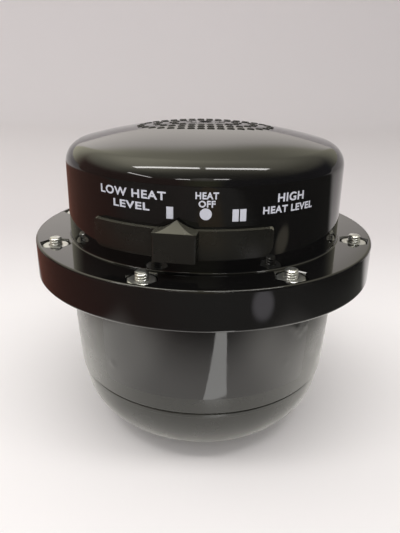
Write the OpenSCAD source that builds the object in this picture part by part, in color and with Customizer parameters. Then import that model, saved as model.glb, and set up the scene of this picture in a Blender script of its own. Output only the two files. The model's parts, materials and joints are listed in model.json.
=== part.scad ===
// Electric shower head: a flanged water heater with a three-place selector and a pressure switch.
// It stands on its spray cap. The front is -Y, up is +Z, and sizes are in millimetres.
// Angles around the axis count from the front, and grow towards +X.

/* [Spray cap] */
// How much the cap's side stands in from the body's upper edge
cap_in = 3.4; // [2.8:0.1:4.2]
// Height of the spray cap
cap_h = 30.2; // [29:0.2:34]
// Diameter of the flat foot under the cap's rounded lower edge
foot_d = 64.6; // [62:0.2:68]
// Thickness of the cap's wall
cap_wall = 3; // [2.6:0.1:3.4]
// Height of the bead along the cap's upper edge
cap_lip_h = 2.2; // [1.8:0.1:2.4]
// How far the bead stands out from the cap's side
cap_lip_out = 0.3; // [0.2:0.1:0.6]
// Radius of the bead's upper edge
cap_lip_round = 0.8; // [0.6:0.1:1.6]
// Open line between the cap and the body
parting_gap = 0.6; // [0.5:0.1:1.4]
// Diameter of the opening that the spray plate closes
spray_d = 56; // [44:1:58]
// Thickness of the spray plate
spray_plate_t = 2; // [1.5:0.1:2.5]
// Rings of spray holes around the middle one
spray_rings = 6; // [3:1:6]
// Diameter of one spray hole
spray_hole_d = 1.3; // [0.8:0.1:1.8]
// Turn that unlocks the cap, in degrees
cap_turn = 30; // [20:1:40]

/* [Lower body] */
// How much the body's upper edge stands out from the cover's side
body_over = 0.6; // [0:0.1:1.4]
// How far the body's lower edge stands out past the cap's side
body_lap = 1.1; // [0.6:0.1:1.6]
// Radius of the body's lower edge
body_lip_round = 0.5; // [0.3:0.1:0.8]
// Height from the parting line to the body's flange
body_h = 51.5; // [48:0.5:58]
// Thickness of the body's wall
body_wall = 3.2; // [2.6:0.1:3.6]
// Thickness of the body's flange
body_flange_t = 3; // [2.6:0.1:3.6]

/* [Flange] */
// How far the flange stands out from the cover, all round
flange_w = 15.9; // [15:0.1:19]
// Height of the flange's band
flange_h = 17; // [16:0.5:18]
// Thickness of the upper flange
flange_plate = 7; // [6.6:0.1:8.4]
// Thickness of the band that hides the lower flange
band_wall = 2.7; // [2.2:0.1:2.8]
// Radius of the band's edges
flange_round = 0.9; // [0.4:0.1:1.1]
// Angle from one of the four front screws to the next, in degrees
front_pitch = 46.9; // [44:0.1:48]
// Turn of the eight screws from the front, in degrees
screw_turn = 4; // [0:0.5:8]
// Diameter of a flange screw
screw_d = 5.5; // [4.8:0.1:5.8]
// Length of screw that stands above the flange
screw_stub = 2.8; // [1.6:0.2:4]
// Pitch of the screw's thread
screw_pitch = 1.06; // [0.9:0.02:1.3]
// Size of a flange nut across its flats
nut_af = 11.1; // [10:0.1:11.6]
// Height of a flange nut
nut_h = 3.7; // [3:0.1:4.2]
// Depth of a nut pocket
pocket_depth = 4.3; // [4:0.1:5.2]
// Room between a nut and its pocket, all round
pocket_room = 0.5; // [0.2:0.05:0.6]

/* [Cover] */
// Outer diameter of the cover
cover_d = 128.2; // [122:0.2:138]
// Height of the cover above the flange
cover_h = 50.3; // [47:0.1:58]
// Thickness of the cover's wall
cover_wall = 2.8; // [2.2:0.1:3.2]
// Radius of the cover's shoulder
shoulder_r = 9.5; // [7:0.5:13]
// Radius of the crown
crown_r = 216; // [180:2:280]
// Width of the oval field of vents
vent_field_w = 60; // [54:1:66]
// Depth of the oval field of vents
vent_field_l = 37; // [34:1:44]
// Ovals of vent slots
vent_rings = 4; // [1:1:4]
// Length of a vent slot
vent_slot_l = 2.5; // [1.8:0.1:2.8]
// Width of a vent slot
vent_slot_w = 1.2; // [0.9:0.1:1.5]
// Diameter of the middle vent
vent_hole_d = 6; // [4:0.5:6.5]
// Height of the cable outlet over the flange
cable_lift = 16; // [14:0.5:22]
// Bore of the cable grommet
cable_d = 9; // [7:0.5:10]

/* [Selector] */
// Where the selector stands, from the middle mark in degrees
selector_angle = -9.5; // [-12:0.5:12]
// Swing from the middle mark to either outer mark, in degrees
selector_swing = 12; // [8:0.5:13]
// Height of the lever's lower edge over the flange
lever_lift = 7.1; // [6:0.1:9]
// Height of the lever
lever_h = 11.2; // [10.4:0.2:13]
// Width of the lever over both wings
lever_span = 71.2; // [68:0.4:76]
// Thickness of the wings
lever_t = 2.5; // [2:0.1:3]
// Width of the finger block
grip_w = 16.8; // [14:0.2:18]
// How far the finger block stands out from the cover
grip_out = 7.9; // [6.5:0.1:9]
// Height of the pointer on the finger block
pointer_h = 3.7; // [3:0.1:5]

/* [Water inlet] */
// Height of the inlet over the base
inlet_z = 55; // [54.5:0.5:58]
// Inner diameter of the inlet's thread
inlet_d = 18.6; // [17:0.2:19.4]
// Depth of the inlet's thread
inlet_depth = 17.5; // [14:0.5:18]

/* [Heater and pressure switch] */
// From the middle of the heating coil to the chamber's wall
coil_room = 11.8; // [10.8:0.1:14]
// Diameter of the coil, to the middle of its wire
coil_d = 6; // [5:0.2:6.6]
// Diameter of the heating wire
coil_wire_d = 1.2; // [1:0.1:1.3]
// Turns of the heating coil
coil_turns = 48; // [36:2:52]
// From the middle of a terminal stud to the diaphragm's edge
stud_room = 10; // [9.6:0.1:12]
// Thickness of the diaphragm
diaphragm_t = 1.5; // [1.2:0.1:2]
// Travel of the plunger
plunger_travel = 3; // [2:0.1:3.4]
// Diameter of the plunger's stem
stem_d = 5.9; // [5:0.1:6.2]
// Turns of the return spring
spring_turns = 3.5; // [2.5:0.5:4]
// Wire of the return spring
spring_wire_d = 0.9; // [0.7:0.1:1]

/* [Hidden] */
$fn = 72;
// fits: side by side, running shaft, moving past, thread in nut
seat = 0.1;
run = 0.05;
pass = 0.3;
grip = 0.02;

cover_r = cover_d / 2;
flange_r = cover_r + flange_w;
body_top_r = cover_r + body_over;
cap_r = body_top_r - cap_in;
cap_round = cap_r - foot_d / 2;
body_bottom_r = cap_r + body_lap;

// heights, from the base up
body_bottom_z = cap_h + parting_gap;
body_flange_z = body_bottom_z + body_h;
gasket_t = 1.2;
plate_t = 3;
gasket_z = body_flange_z + body_flange_t;
plate_z = gasket_z + gasket_t;
plate_top_z = plate_z + plate_t;
flange_top_z = plate_top_z + flange_plate;
flange_bottom_z = flange_top_z - flange_h;
crown_z = flange_top_z + cover_h;

// the body's side is one arc, upright under the flange
body_sag = body_top_r - body_bottom_r;
body_arc_r = (body_h * body_h + body_sag * body_sag) / (2 * body_sag);
body_arc_x = body_top_r - body_arc_r;
body_lip_h = body_h - body_lip_round;
body_lip_r = body_arc_x + sqrt(body_arc_r * body_arc_r - body_lip_h * body_lip_h);
floor_z = body_bottom_z + 1;
floor_t = 3.2;
band_in_r = flange_r - band_wall;
stack_r = band_in_r - 0.4;
chamber_r = body_top_r - body_wall;
coil_ring_r = chamber_r - coil_room;
diaphragm_d = 2 * (coil_ring_r - stud_room);

// the cap's neck and its three bayonet lugs
bore_r = cap_r - 4.3;
neck_r = bore_r - pass;
neck_wall = 3.4;
neck_z = cap_h - 9.6;
lug_angles = [60, 180, 300];
lug_half = 7;
lug_z = cap_h - 6;
lug_h = 3;
lug_out = 1.6;
seal_wire_r = 0.9;
seal_z = neck_z + 1.8;
groove_r = neck_r - 1.8;
rebate_r = spray_d / 2 + 3;
rebate_z = 1.6;

// flange screws
screw_r = screw_d / 2;
screw_circle_r = cover_r + flange_w / 2;
rear_pitch = (360 - 3 * front_pitch) / 5;
screw_angles = concat([for (i = [0 : 3]) screw_turn + (i - 1.5) * front_pitch],
    [for (i = [1 : 4]) screw_turn + 1.5 * front_pitch + i * rear_pitch]);
screw_hole_d = screw_d + 0.5;
washer_room = 0.35;
washer_d = 2 * (band_in_r - screw_circle_r - washer_room);
washer_t = 0.8;
head_d = washer_d - 0.6;
head_h = 2.4;
head_z = body_flange_z - washer_t - head_h;
screw_tip_z = flange_top_z + screw_stub;
pocket_z = flange_top_z - pocket_depth;
nut_top_z = pocket_z + nut_h;

// the crown's arc runs into the shoulder's arc
shoulder_c = cover_r - shoulder_r;
crown_c = crown_z - crown_r;
// turn that spaces the vents evenly round their ovals
vent_even = 28.65 * (vent_field_w - vent_field_l) / (vent_field_w + vent_field_l);
shoulder_z = crown_c + sqrt((crown_r - shoulder_r) * (crown_r - shoulder_r) - shoulder_c * shoulder_c);
shoulder_turn = atan2(shoulder_c, shoulder_z - crown_c);
cover_in_r = cover_r - cover_wall;

// selector
lever_z = flange_top_z + lever_lift;
lever_in_r = cover_r + pass;
arm_w = 10;
arm_t = 3.5;
arm_end = cover_in_r - 3.3;
link_w = 8;
link_h = 3.5;
link_z = lever_z + lever_h / 2 - 0.7;
link_in = arm_end - 8;
link_screw_y = arm_end - 4;
arm_z = link_z - arm_t;
slot_room = 0.5;
slot_half = selector_swing + asin((link_w / 2 + 0.7) / cover_in_r);
base_top_z = arm_z - 2;
pad_t = 0.8;
pad_half = 3;
pad_r = diaphragm_d / 2 - 5.5 - pad_half;

// pressure switch, stacked on the partition plate
pressure_r = diaphragm_d / 2 - 12;
ring_top_z = plate_top_z + 3;
base_t = 3;
base_wall = 6.5;
base_screw_r = diaphragm_d / 2 - 3.3;
base_screw_angles = [45, 135, 225, 315];
pivot_r = 6;
hub_r = 10;
pivot_top_z = arm_z + arm_t + 2;
plunger_r = pressure_r - 7.5;
plunger_t = 3;
stem_r = stem_d / 2;
bridge_z = pivot_top_z + 2;
bridge_t = 1.5;
button_t = 0.8;
button_r = 2.5;
button_x = 16;
bridge_w = 8;
bridge_half = button_x + button_r + 1.5;
tab_t = 1.6;
tab_gap = 1.5;
tab_post = 5;
tab_z = bridge_z + bridge_t + 2 * button_t + plunger_travel + seat;
spring_r = 7.5;
spring_low_z = plate_top_z + run + plunger_t;
spring_high_z = base_top_z - base_t;

// heater
stud_r = 2.2;
stud_angles = [-150, 0, 150];
coil_r = coil_d / 2;
coil_z = plate_z - 19;
coil_low_z = coil_z - coil_r - coil_wire_d;
coil_top_z = coil_z + coil_r + coil_wire_d;
post_angles = [-105, -45, 45, 105];
post_w = 6;
post_wall = 2.2;

// inlet, along +Y
inlet_end = flange_r - 0.5;
boss_out = inlet_end - 11.5;
boss_in = chamber_r - 4.8;
boss_d = 34;
inlet_washer_t = 1.5;
sleeve_d = inlet_d + 5.4;
sleeve_in = boss_in - 9;
locknut_h = 7;
filter_d = inlet_d - 4.6;

// cable outlet and terminals, at the rear
cable_z = flange_top_z + cable_lift;
grommet_d = cable_d + 5;
block_in = diaphragm_d / 2 + 0.5;
block_x = 2 * (coil_ring_r * sin(30) - 7);
block_y = 13;
block_h = 12;

// a quarter of a disc, in the corner of +X and +Y
module quarter(r) {
    intersection() {
        circle(r = r);
        square(r + 1);
    }
}

// a rectangle with lower corner radii and smaller upper ones, standing on y = 0
module plaque(w, h, low, high) {
    x = w / 2 - low;
    translate([-x, 0]) square([2 * x, h]);
    for (s = [0, 1]) mirror([s, 0]) {
        translate([x, low]) square([low, h - low - high]);
        translate([x, h - high]) square([low - high, high]);
        translate([x, low]) rotate(-90) quarter(low);
        translate([w / 2 - high, h - high]) quarter(high);
    }
}

// children at an angle from the front and a radius
module around(a, r) {
    rotate(a) translate([0, -r, 0]) children();
}

// a block swept around the axis, centred on an angle
module arc_block(a, half, r, z, w, h) {
    rotate(a - half - 90) rotate_extrude(angle = 2 * half) translate([r, z]) square([w, h]);
}

// children with their +Z turned to +Y, at a height
module rearward(z) {
    translate([0, 0, z]) rotate([-90, 0, 0]) children();
}

// a tube along wire points, with the side that faces away from the coil's middle line
function unit(v) = v / norm(v);
function ring(p, q, out, r) =
    let (t = unit(q), n = unit(out - t * (out * t)), b = cross(t, n))
    [for (k = [0 : 5]) p + r * (cos(60 * k) * n + sin(60 * k) * b)];
module wire(points, outs, r) {
    n = len(points);
    rings = [for (i = [0 : n - 1])
        ring(points[i], points[min(i + 1, n - 1)] - points[max(i - 1, 0)], outs[i], r)];
    corners = [for (c = rings) each c];
    sides = [for (i = [0 : n - 2]) for (k = [0 : 5]) each
        let (a = 6 * i + k, b = 6 * i + (k + 1) % 6) [[a, a + 6, b], [b, a + 6, b + 6]]];
    ends = [[for (k = [0 : 5]) k], [for (k = [5 : -1 : 0]) 6 * (n - 1) + k]];
    polyhedron(points = corners, faces = concat(sides, ends), convexity = 8);
}

// profiles, as radius and height
module cap_outside() {
    a = cap_r - cap_round;
    side_z = cap_h - cap_lip_h;
    lip_w = cap_round + cap_lip_out;
    square([a, cap_h]);
    intersection() {
        translate([a, cap_round]) circle(r = cap_round);
        translate([a, 0]) square([cap_round + 1, min(side_z, cap_round)]);
    }
    if (side_z > cap_round) translate([a, cap_round]) square([cap_round, side_z - cap_round]);
    translate([a, side_z]) square([lip_w, cap_lip_h - cap_lip_round]);
    translate([a, side_z]) square([lip_w - cap_lip_round, cap_lip_h]);
    translate([cap_r + cap_lip_out - cap_lip_round, cap_h - cap_lip_round]) quarter(cap_lip_round);
}

module cap_inside() {
    a = cap_r - cap_round;
    r = cap_round - cap_wall;
    translate([0, cap_wall]) square([a, neck_z - cap_wall]);
    intersection() {
        translate([a, cap_round]) circle(r = r);
        translate([a, 0]) square([r + 1, neck_z]);
    }
    translate([0, neck_z - 0.4]) square([bore_r, cap_h]);
    square([spray_d / 2, cap_h]);
    translate([0, rebate_z]) square([rebate_r, cap_h]);
}

module body_side() {
    edge_z = body_bottom_z + body_lip_round;
    intersection() {
        translate([body_arc_x, body_flange_z]) circle(r = body_arc_r, $fn = 180);
        translate([0, edge_z]) square([body_top_r, body_h - body_lip_round]);
    }
    translate([0, body_bottom_z]) square([body_lip_r - body_lip_round, body_lip_round]);
    translate([body_lip_r - body_lip_round, edge_z]) mirror([0, 1]) quarter(body_lip_round);
}

function arc(x, z, r, from, to, first, steps) =
    [for (i = [first : steps]) let (a = from + (to - from) * i / steps) [x + r * cos(a), z + r * sin(a)]];

module housing_area() {
    up = 90 - shoulder_turn;
    polygon(concat(
        [[cover_in_r, plate_top_z], [band_in_r, plate_top_z], [band_in_r, flange_bottom_z]],
        arc(flange_r - flange_round, flange_bottom_z + flange_round, flange_round, -90, 0, 0, 4),
        arc(flange_r - flange_round, flange_top_z - flange_round, flange_round, 0, 90, 0, 4),
        [[cover_r + 0.6, flange_top_z], [cover_r, flange_top_z + 0.6]],
        arc(shoulder_c, shoulder_z, shoulder_r, 0, up, 0, 12),
        arc(0, crown_c, crown_r, up, 90, 1, 14),
        arc(0, crown_c, crown_r - cover_wall, 90, up, 0, 14),
        arc(shoulder_c, shoulder_z, shoulder_r - cover_wall, up, 0, 1, 12)));
}

// outer pieces
module spray_cap() {
    color("#1b1b19") {
        difference() {
            rotate_extrude() difference() {
                cap_outside();
                cap_inside();
            }
            for (a = lug_angles) {
                arc_block(a - cap_turn / 2, lug_half + cap_turn / 2 + 1, bore_r - 1,
                    lug_z - 0.4, lug_out + 1 + pass, lug_h + 0.8);
                arc_block(a - cap_turn, lug_half + 1, bore_r - 1, lug_z, lug_out + 1 + pass, cap_h);
            }
        }
        for (a = [0, 90, 180, 270])
            rotate(a) {
                translate([rebate_r - 1.6, -3, rebate_z + spray_plate_t + seat]) cube([3.6, 6, 1.3]);
                translate([rebate_r, -3, cap_wall - 1]) cube([2, 6, rebate_z + spray_plate_t + seat - cap_wall + 2]);
            }
    }
}

module spray_plate() {
    color("#2b2b28") difference() {
        translate([0, 0, rebate_z]) cylinder(h = spray_plate_t, r = rebate_r - seat);
        cylinder(h = cap_h, d = spray_hole_d);
        for (k = [1 : spray_rings]) for (i = [0 : 6 * k - 1])
            around(i * 60 / k, k * (spray_d / 2 - 2.5) / spray_rings) cylinder(h = cap_h, d = spray_hole_d);
    }
}

module cap_seal() {
    color("#101010") rotate_extrude() translate([neck_r - seal_wire_r + 0.1, seal_z]) circle(r = seal_wire_r);
}

module lower_body() {
    color("#1b1b19") difference() {
        union() {
            rotate_extrude() difference() {
                union() {
                    body_side();
                    translate([0, body_flange_z]) square([stack_r, body_flange_t]);
                    translate([neck_r - neck_wall, neck_z]) square([neck_wall, floor_z + 1 - neck_z]);
                }
                intersection() {
                    translate([body_arc_x, body_flange_z]) circle(r = body_arc_r - body_wall, $fn = 180);
                    translate([0, floor_z + floor_t]) square([body_top_r, body_flange_z - floor_z - floor_t]);
                }
                translate([0, body_flange_z]) square([chamber_r, body_flange_t + 1]);
                translate([0, body_bottom_z - 1]) square([neck_r - neck_wall, floor_z + 1 - body_bottom_z]);
                translate([groove_r, seal_z - 1.1]) square([3, 2.2]);
            }
            rearward(inlet_z) translate([0, 0, boss_in]) cylinder(h = boss_out - boss_in, d = boss_d);
            for (a = lug_angles) arc_block(a, lug_half, neck_r - 1, lug_z, 1 + lug_out, lug_h);
        }
        rearward(inlet_z) translate([0, 0, boss_in - 1]) cylinder(h = 40, d = sleeve_d + 2 * seat);
        for (a = screw_angles) around(a, screw_circle_r) translate([0, 0, body_flange_z - 1])
            cylinder(h = body_flange_t + 2, d = screw_hole_d);
        for (i = [0 : 11]) around(i * 30, 40) translate([0, 0, floor_z - 1]) cylinder(h = floor_t + 2, d = 6);
        for (i = [0 : 5]) around(i * 60, 18) translate([0, 0, floor_z - 1]) cylinder(h = floor_t + 2, d = 6);
    }
}

module upper_housing() {
    color("#1b1b19") difference() {
        rotate_extrude() housing_area();
        for (a = screw_angles) around(a, screw_circle_r) {
            translate([0, 0, pocket_z])
                cylinder(h = pocket_depth + 1, d = (nut_af + 2 * pocket_room) / cos(30), $fn = 6);
            translate([0, 0, plate_top_z - 1]) cylinder(h = flange_plate, d = screw_hole_d);
        }
        arc_block(0, slot_half, cover_in_r - 2, link_z - slot_room, cover_wall + 4, link_h + 2 * slot_room);
        rearward(cable_z) translate([0, 0, cover_in_r - 3]) cylinder(h = cover_wall + 6, d = grommet_d);
        translate([0, 0, crown_z - 20]) cylinder(h = 40, d = vent_hole_d);
        for (k = [1 : vent_rings]) for (i = [0 : 8 * k + 1]) {
            a = vent_field_w / 2 * k / vent_rings;
            b = vent_field_l / 2 * k / vent_rings;
            u = (i + 0.5) * 360 / (8 * k + 2);
            t = u - vent_even * sin(2 * u);
            translate([a * sin(t), -b * cos(t), crown_z - 10]) cube([vent_slot_l, vent_slot_w, 40], center = true);
        }
    }
}

// flange stack
module flange_screws() {
    threads = floor((screw_tip_z - 0.7 - nut_top_z) / screw_pitch);
    start = screw_tip_z - 0.7 - threads * screw_pitch;
    depth = 0.55 * screw_pitch;
    color("#b9bcbf") for (a = screw_angles) around(a, screw_circle_r) difference() {
        rotate_extrude() polygon(concat(
            [[0, head_z], [head_d / 2 - 1.2, head_z], [head_d / 2, head_z + 1.1],
                [head_d / 2, head_z + head_h], [screw_r, head_z + head_h]],
            [for (k = [0 : threads - 1]) each [[screw_r, start + k * screw_pitch],
                [screw_r - depth, start + (k + 0.4) * screw_pitch],
                [screw_r - depth, start + (k + 0.55) * screw_pitch],
                [screw_r, start + (k + 0.9) * screw_pitch]]],
            [[screw_r, screw_tip_z - 0.7], [screw_r - 0.7, screw_tip_z], [0, screw_tip_z]]));
        for (s = [0, 90]) rotate(s) translate([-2.4, -0.6, head_z - 1]) cube([4.8, 1.2, 2.5]);
    }
}

module flange_washers() {
    color("#b9bcbf") for (a = screw_angles) around(a, screw_circle_r) difference() {
        translate([0, 0, body_flange_z - washer_t]) cylinder(h = washer_t, d = washer_d);
        translate([0, 0, body_flange_z - 2]) cylinder(h = 3, d = screw_d + 2 * seat);
    }
}

module flange_nuts() {
    r = nut_af / 2 / cos(30);
    color("#c4c6c8") for (a = screw_angles) around(a, screw_circle_r) translate([0, 0, pocket_z]) difference() {
        intersection() {
            cylinder(h = nut_h, r = r, $fn = 6);
            rotate_extrude() polygon([[0, 0], [r + 1, 0], [r + 1, nut_h - 0.9 - 0.5], [nut_af / 2 - 0.2, nut_h],
                [0, nut_h]]);
        }
        translate([0, 0, -1]) cylinder(h = nut_h + 2, r = screw_r + grip);
    }
}

module flange_gasket() {
    color("#2a2a2a") difference() {
        translate([0, 0, gasket_z]) cylinder(h = gasket_t, r = stack_r);
        translate([0, 0, gasket_z - 1]) cylinder(h = gasket_t + 2, r = chamber_r + 0.2);
        for (a = screw_angles) around(a, screw_circle_r) translate([0, 0, gasket_z - 1])
            cylinder(h = gasket_t + 2, d = screw_hole_d);
    }
}

module partition_plate() {
    color("#3a2a1e") difference() {
        translate([0, 0, plate_z]) cylinder(h = plate_t, r = stack_r);
        translate([0, 0, plate_z - 1]) cylinder(h = plate_t + 2, r = pressure_r);
        translate([0, 0, plate_top_z - diaphragm_t]) cylinder(h = plate_t, r = diaphragm_d / 2 + seat);
        for (a = screw_angles) around(a, screw_circle_r) translate([0, 0, plate_z - 1])
            cylinder(h = plate_t + 2, d = screw_hole_d);
        for (a = base_screw_angles) around(a, base_screw_r) translate([0, 0, plate_z + 0.7])
            cylinder(h = plate_t, r = 1.5 + grip);
        for (a = stud_angles) around(a, coil_ring_r) translate([0, 0, plate_z - 1])
            cylinder(h = plate_t + 2, r = stud_r + seat);
    }
}

// pressure switch
module diaphragm() {
    fold = (pressure_r + plunger_r) / 2;
    z = plate_top_z - diaphragm_t;
    color("#3b3b3b") difference() {
        rotate_extrude() difference() {
            union() {
                translate([0, z]) square([diaphragm_d / 2, diaphragm_t]);
                intersection() {
                    translate([fold, plate_top_z - 0.3]) circle(r = 2.7);
                    translate([fold - 3, z]) square([6, 6]);
                }
            }
            translate([fold, plate_top_z - 0.3]) circle(r = 1.4);
            translate([fold - 1.4, z - 1]) square([2.8, diaphragm_t + 0.7]);
        }
        for (a = base_screw_angles) around(a, base_screw_r) translate([0, 0, z - 1])
            cylinder(h = diaphragm_t + 2, r = 1.5 + seat);
    }
}

module clamp_ring() {
    color("#c8b48a") difference() {
        translate([0, 0, plate_top_z]) cylinder(h = ring_top_z - plate_top_z, r = diaphragm_d / 2);
        translate([0, 0, plate_top_z - 1]) cylinder(h = 6, r = pressure_r);
        for (a = base_screw_angles) around(a, base_screw_r) translate([0, 0, plate_top_z - 1])
            cylinder(h = 6, r = 1.5 + seat);
    }
}

module plunger() {
    z = plate_top_z + run;
    color("#d8d4c6") rotate_extrude() polygon([[0, z], [plunger_r - 1, z], [plunger_r, z + 1],
        [plunger_r, z + plunger_t], [stem_r, z + plunger_t], [stem_r, bridge_z], [2, bridge_z],
        [2, bridge_z + bridge_t + 3.4], [0, bridge_z + bridge_t + 3.4]]);
}

module return_spring() {
    steps = 8 * spring_turns;
    low = spring_low_z + spring_wire_d / 2 + run;
    high = spring_high_z - spring_wire_d / 2 - run;
    lead = 0.5;
    pitch = (high - low) / (spring_turns - 2 * lead);
    points = [for (i = [0 : steps]) let (t = i / 8, u = max(0, min(spring_turns - 2 * lead, t - lead)))
        [spring_r * cos(360 * t), spring_r * sin(360 * t), low + pitch * u]];
    outs = [for (i = [0 : steps]) [cos(45 * i), sin(45 * i), 0]];
    echo(return_spring_least_gap = pitch * (1 - lead) - spring_wire_d);
    color("#b9bcbf") wire(points, outs, spring_wire_d / 2);
}

module contact_base() {
    r = diaphragm_d / 2;
    color("#5a2f1c") difference() {
        rotate_extrude() difference() {
            union() {
                translate([r - base_wall, ring_top_z]) square([base_wall, base_top_z - ring_top_z]);
                translate([0, base_top_z - base_t]) square([r, base_t]);
                translate([0, base_top_z - 1]) square([pivot_r, pivot_top_z - base_top_z + 1]);
            }
            translate([0, plate_z]) square([stem_r + run, pivot_top_z]);
            translate([pivot_r - 0.8, pivot_top_z - 1.9]) square([2, 1.2]);
        }
        for (s = [0, 90]) rotate(s) translate([-r - 5, -9, ring_top_z + 1.2])
            cube([2 * r + 10, 18, base_top_z - base_t - ring_top_z - 1.2]);
        for (a = base_screw_angles) around(a, base_screw_r) translate([0, 0, ring_top_z - 1])
            cylinder(h = base_top_z, r = 1.5 + seat);
    }
}

module base_screws() {
    color("#b9bcbf") for (a = base_screw_angles) around(a, base_screw_r) difference() {
        rotate_extrude() polygon([[0, plate_z + 0.8], [1.5, plate_z + 0.8], [1.5, base_top_z], [2.9, base_top_z],
            [2.9, base_top_z + 1.2], [2, base_top_z + 2], [0, base_top_z + 2]]);
        translate([-3, -0.4, base_top_z + 1.1]) cube([6, 0.8, 2]);
    }
}

module contact_bridge() {
    color("#b8733a") difference() {
        union() {
            translate([-bridge_half, -bridge_w / 2, bridge_z]) cube([2 * bridge_half, bridge_w, bridge_t]);
            for (s = [-1, 1]) translate([s * button_x, 0, bridge_z + bridge_t - 0.2])
                cylinder(h = button_t + 0.2, r = button_r);
        }
        translate([0, 0, bridge_z - 1]) cylinder(h = 4, r = 2 + grip);
    }
}

module bridge_nut() {
    color("#b9bcbf") difference() {
        translate([0, 0, bridge_z + bridge_t]) cylinder(h = 2.6, d = 7 / cos(30), $fn = 6);
        translate([0, 0, bridge_z]) cylinder(h = 8, r = 2 + grip);
    }
}

module fixed_contacts() {
    color("#c79a4b") for (s = [0, 180]) rotate(s) {
        post_x = bridge_half + tab_gap;
        tab_x = button_x - button_r - 1;
        translate([post_x, -bridge_w / 2, base_top_z]) cube([tab_post, bridge_w, tab_z - base_top_z]);
        translate([tab_x, -bridge_w / 2, tab_z]) cube([post_x + tab_post - tab_x, bridge_w, tab_t]);
        translate([button_x, 0, tab_z - button_t]) cylinder(h = button_t + 0.5, r = button_r);
        translate([post_x, -bridge_w / 2 - 2, base_top_z]) cube([tab_post + 2, bridge_w + 4, tab_t]);
    }
}

// selector
module selector_lever() {
    top = lever_z + lever_h;
    front = cover_r + grip_out;
    half = grip_w / 2 - 0.2;
    peak_y = 0.85 * (front - lever_in_r - 0.4) - front;
    color("#24241f") rotate(selector_angle) {
        intersection() {
            difference() {
                translate([0, 0, lever_z - 2]) cylinder(h = lever_h + 4, r = lever_in_r + lever_t);
                cylinder(h = 2 * top, r = lever_in_r);
            }
            rotate([90, 0, 0]) translate([0, lever_z, 20]) linear_extrude(height = cover_r)
                plaque(lever_span, lever_h, 4.2, 1.6);
        }
        difference() {
            translate([0, 0, lever_z]) linear_extrude(height = lever_h) translate([0, -front])
                plaque(grip_w, front - cover_r + 6, 1, 0.2);
            cylinder(h = 2 * top, r = lever_in_r);
        }
        intersection() {
            rotate([90, 0, 0]) translate([0, top - 1, lever_in_r + 0.4])
                linear_extrude(height = front - lever_in_r - 0.4)
                polygon(concat([[half, 0], [half, 1]],
                    [for (i = [11 : -1 : -11]) [half * i / 12, 1 + pointer_h * pow(1 - abs(i) / 12, 1.7)]],
                    [[-half, 1], [-half, 0]]));
            rotate([90, 0, 90]) translate([0, 0, -grip_w]) linear_extrude(height = 2 * grip_w)
                polygon([[-front, top - 1], [-front, top + 0.05], [peak_y, top + pointer_h],
                    [-lever_in_r - 0.4, top + 0.05], [-lever_in_r - 0.4, top - 1]]);
        }
        difference() {
            translate([-link_w / 2, -lever_in_r - 1, link_z]) cube([link_w, lever_in_r + 1 - link_in, link_h]);
            translate([0, -link_screw_y, link_z - 1]) cylinder(h = link_h + 2, r = 1.5 + grip);
        }
    }
}

module selector_arm() {
    color("#e0dccb") rotate(selector_angle) difference() {
        union() {
            translate([0, 0, base_top_z + seat]) cylinder(h = arm_z + arm_t - base_top_z - seat, r = hub_r);
            translate([-arm_w / 2, -arm_end, arm_z]) cube([arm_w, arm_end, arm_t]);
        }
        translate([0, 0, base_top_z - 1]) cylinder(h = 20, r = pivot_r + run);
        translate([0, -link_screw_y, arm_z + 0.5]) cylinder(h = arm_t, r = 1.5 + grip);
    }
}

module selector_screw() {
    z = link_z + link_h;
    color("#b9bcbf") rotate(selector_angle) translate([0, -link_screw_y, 0]) difference() {
        rotate_extrude() polygon([[0, arm_z + 0.6], [1.5, arm_z + 0.6], [1.5, z], [2.9, z], [2.9, z + 1.2],
            [2, z + 2], [0, z + 2]]);
        translate([-3, -0.4, z + 1.1]) cube([6, 0.8, 2]);
    }
}

module selector_wiper() {
    low = base_top_z + pad_t + seat;
    wiper_r = pad_r - 7.5;
    tip_r = pad_r + pad_half + 0.5;
    color("#c79a4b") rotate(selector_angle) rotate([90, 0, 90]) translate([0, 0, -3]) linear_extrude(height = 6)
        polygon([[6 - wiper_r, arm_z], [6 - wiper_r, arm_z - 0.4], [-wiper_r - 1, arm_z - 0.4], [1.5 - pad_r, low],
            [-pad_r - 1.5, low], [-tip_r, low + 0.5], [-tip_r, low + 0.9], [-pad_r - 1.5, low + 0.4],
            [1.3 - pad_r, low + 0.4], [-wiper_r - 1.2, arm_z]]);
}

module selector_pads() {
    color("#b8733a") for (s = [-1, 1]) around(s * selector_swing, pad_r)
        translate([0, 0, base_top_z]) cylinder(h = pad_t, r = pad_half);
}

module arm_clip() {
    z = pivot_top_z - 1.8;
    color("#b9bcbf") difference() {
        translate([0, 0, z]) cylinder(h = 1, r = 9);
        translate([0, 0, z - 1]) cylinder(h = 3, r = pivot_r - 0.8 + seat);
        translate([-3, 0, z - 1]) cube([6, 12, 3]);
    }
}

// heater
module heating_coil() {
    half = abs(stud_angles[0]) - (stud_r + pass) / coil_ring_r * 180 / PI;
    steps = 8 * coil_turns;
    function swell(t) = min(1, t / 2, (coil_turns - t) / 2);
    function middle(t) = let (a = -half + 2 * half * t / coil_turns)
        [coil_ring_r * sin(a), -coil_ring_r * cos(a), coil_z];
    function out(t) = let (a = -half + 2 * half * t / coil_turns)
        [cos(360 * t) * sin(a), -cos(360 * t) * cos(a), sin(360 * t)];
    points = [for (i = [0 : steps]) middle(i / 8) + coil_r * swell(i / 8) * out(i / 8)];
    outs = [for (i = [0 : steps]) out(i / 8)];
    pitch = 2 * (coil_ring_r - coil_r) * half * PI / 180 / coil_turns;
    echo(heating_coil_least_gap = pitch - coil_wire_d);
    color("#8f8a80") wire(points, outs, coil_wire_d / 2);
}

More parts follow.
